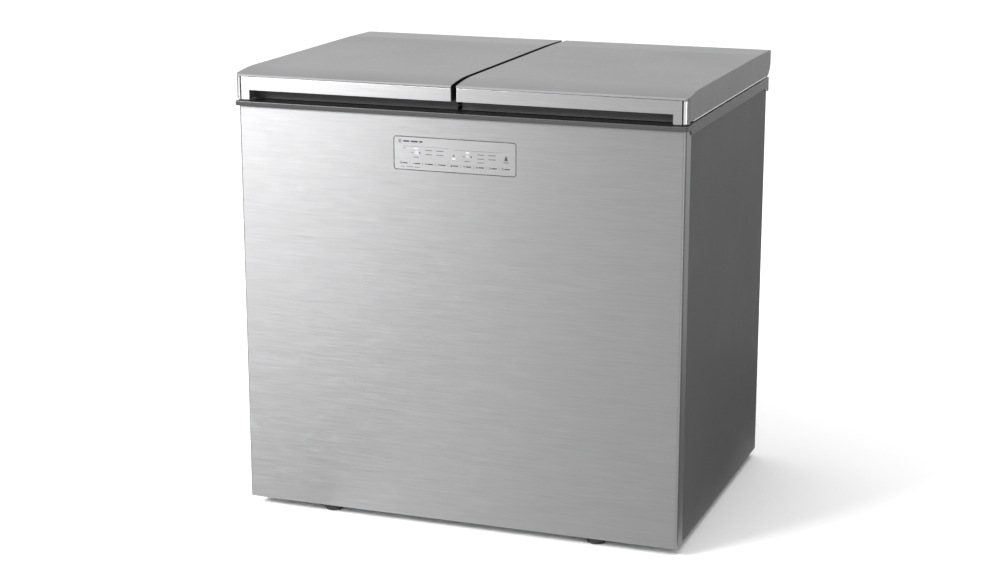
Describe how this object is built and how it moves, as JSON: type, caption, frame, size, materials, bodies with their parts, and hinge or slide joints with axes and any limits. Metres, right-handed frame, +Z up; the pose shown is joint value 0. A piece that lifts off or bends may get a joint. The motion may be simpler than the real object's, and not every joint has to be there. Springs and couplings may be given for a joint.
{
  "type": "chest freezer",
  "caption": "Upright box chest freezer with two side-by-side hinged lids, brushed front, stepped food compartments, hanging baskets and a rear machine compartment.",
  "frame": {"origin": "on the floor under the middle of the whole box, lids closed", "axes": "+X to the right as seen from the front, +Y to the back, +Z up"},
  "size_m": [0.93, 0.695, 0.91],
  "materials": {
    "front_steel": "satin",
    "side_paint": "satin",
    "galvanised": "matte",
    "foam": "matte",
    "liner_metal": "satin",
    "frame_plastic": "satin",
    "overlay": "gloss",
    "housing_plastic": "matte",
    "board_green": "satin",
    "copper": "satin",
    "coil_aluminium": "satin",
    "compressor_black": "satin",
    "rubber": "matte",
    "zinc": "satin",
    "fan_plastic": "matte",
    "lid_skin": "satin",
    "trim_steel": "satin",
    "recess_plastic": "matte",
    "moulding": "satin",
    "bright_strip": "polished",
    "white_plastic": "gloss",
    "gasket": "matte",
    "foot_black": "matte",
    "basket_plastic": "satin"
  },
  "bodies": {
    "cabinet": {"back_panel": "galvanised", "base_pan": "galvanised", "compressor_grommets": "rubber", "compressor_shell": "compressor_black", "compressor_terminal_cover": "housing_plastic", "condenser_fins": "coil_aluminium", "condenser_tube": "copper", "control_overlay": "overlay", "cord_gland": "rubber", "display_board": "board_green", "display_housing": "housing_plastic", "fan_motor": "zinc", "fan_shroud": "fan_plastic", "fasteners": "zinc", "filter_drier": "copper", "front_panel": "front_steel", "insulation_foam": "foam", "left_evaporator_coil": "coil_aluminium", "left_liner": "liner_metal", "left_side_panel": "side_paint", "lid_hinge_brackets": "zinc", "lid_hinge_pins": "zinc", "lid_hinge_springs": "zinc", "machine_bulkhead": "galvanised", "mains_control_box": "housing_plastic", "rear_cover": "galvanised", "refrigerant_lines": "copper", "right_evaporator_coil": "coil_aluminium", "right_liner": "liner_metal", "right_side_panel": "side_paint", "roller_axles": "zinc", "roller_brackets": "zinc", "temperature_sensors": "white_plastic", "top_frame": "frame_plastic", "wall_spacers": "fan_plastic"},
    "left_lid": {"left_lid_cover": "lid_skin", "left_lid_end_moulding": "moulding", "left_lid_end_strip": "bright_strip", "left_lid_foam": "foam", "left_lid_front_trim": "trim_steel", "left_lid_gasket": "gasket", "left_lid_handle_recess": "recess_plastic", "left_lid_hinge_leaves": "zinc", "left_lid_inner_liner": "white_plastic"},
    "right_lid": {"right_lid_cover": "lid_skin", "right_lid_end_moulding": "moulding", "right_lid_end_strip": "bright_strip", "right_lid_foam": "foam", "right_lid_front_trim": "trim_steel", "right_lid_gasket": "gasket", "right_lid_handle_recess": "recess_plastic", "right_lid_hinge_leaves": "zinc", "right_lid_inner_liner": "white_plastic"},
    "left_basket": {"left_basket": "basket_plastic"},
    "right_basket": {"right_basket": "basket_plastic"},
    "left_foot": {"left_front_foot": "foot_black"},
    "right_foot": {"right_front_foot": "foot_black"},
    "left_roller": {"left_rear_roller": "fan_plastic"},
    "right_roller": {"right_rear_roller": "fan_plastic"},
    "condenser_fan": {"fan_rotor": "fan_plastic"}
  },
  "joints": [
    {"name": "left_lid_hinge", "type": "hinge", "parent": "cabinet", "child": "left_lid", "pos_m": [-0.235, 0.2865, 0.9], "axis": [-1, 0, 0], "range_deg": [0, 80]},
    {"name": "right_lid_hinge", "type": "hinge", "parent": "cabinet", "child": "right_lid", "pos_m": [0.235, 0.2865, 0.9], "axis": [-1, 0, 0], "range_deg": [0, 80]},
    {"name": "left_basket_slide", "type": "slide", "parent": "cabinet", "child": "left_basket", "axis": [0, -1, 0], "range_m": [0, 0.26]},
    {"name": "right_basket_slide", "type": "slide", "parent": "cabinet", "child": "right_basket", "axis": [0, -1, 0], "range_m": [0, 0.26]},
    {"name": "left_foot_level", "type": "slide", "parent": "cabinet", "child": "left_foot", "axis": [0, 0, -1], "range_m": [0, 0.012]},
    {"name": "right_foot_level", "type": "slide", "parent": "cabinet", "child": "right_foot", "axis": [0, 0, -1], "range_m": [0, 0.012]},
    {"name": "left_roller_spin", "type": "hinge", "parent": "cabinet", "child": "left_roller", "pos_m": [-0.4, 0.29, 0.015], "axis": [1, 0, 0], "continuous": true},
    {"name": "right_roller_spin", "type": "hinge", "parent": "cabinet", "child": "right_roller", "pos_m": [0.4, 0.29, 0.015], "axis": [1, 0, 0], "continuous": true},
    {"name": "fan_spin", "type": "hinge", "parent": "cabinet", "child": "condenser_fan", "pos_m": [-0.225, 0.222, 0.14], "axis": [1, 0, 0], "continuous": true}
  ]
}
